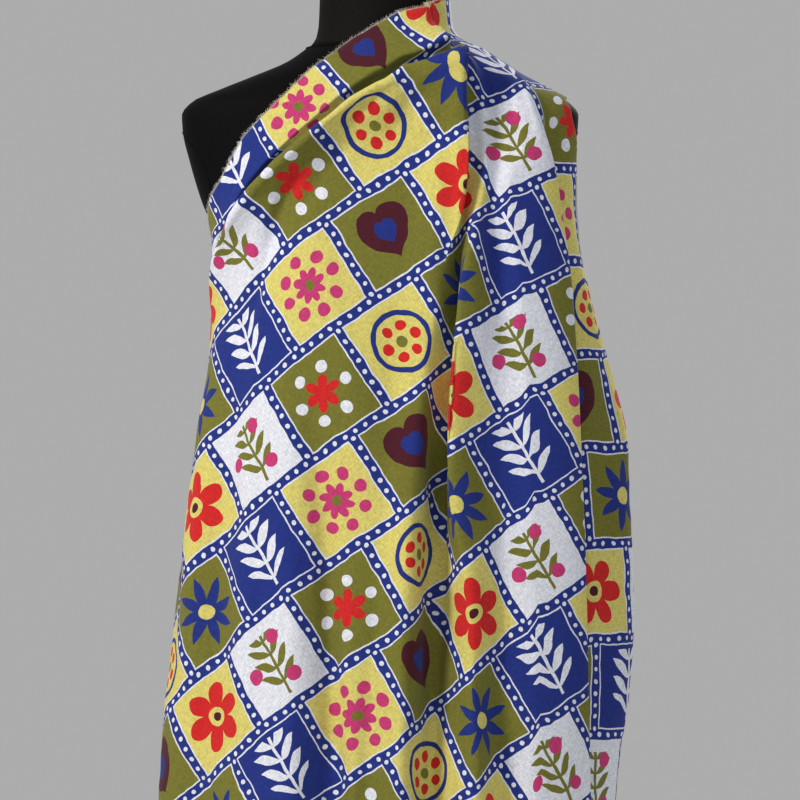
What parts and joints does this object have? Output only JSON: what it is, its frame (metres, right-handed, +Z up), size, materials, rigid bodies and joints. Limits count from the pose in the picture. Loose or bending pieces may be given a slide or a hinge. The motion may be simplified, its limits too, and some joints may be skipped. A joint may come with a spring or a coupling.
{
  "type": "linen rayon fabric on a dress form",
  "caption": "Printed linen rayon cloth draped over one shoulder of a black limbless dress form on a pole stand.",
  "frame": {"origin": "centre of the foot plate's underside, on the floor", "axes": "+Z up, -Y to the front of the form, +X to the form's left, the shoulder that the cloth hangs from"},
  "size_m": [0.5343, 0.3788, 1.662],
  "materials": {
    "linen_rayon": "plain-woven linen rayon, printed",
    "jersey": "black jersey cover",
    "black_metal": "satin black powder coat",
    "steel": "polished tube",
    "board": "black lacquered board"
  },
  "bodies": {
    "root": {"foot_plate": "black_metal", "foot_hub": "black_metal", "pole": "steel", "pole_clamp": "black_metal", "hip_board": "board", "torso": "jersey", "neck": "jersey", "neck_cap": "board", "cloth_shoulder_corner": "linen_rayon", "cloth_side_fall": "linen_rayon", "cloth_centre_fall": "linen_rayon", "cloth_front_wrap": "linen_rayon", "cloth_back_wrap": "linen_rayon"}
  },
  "joints": []
}
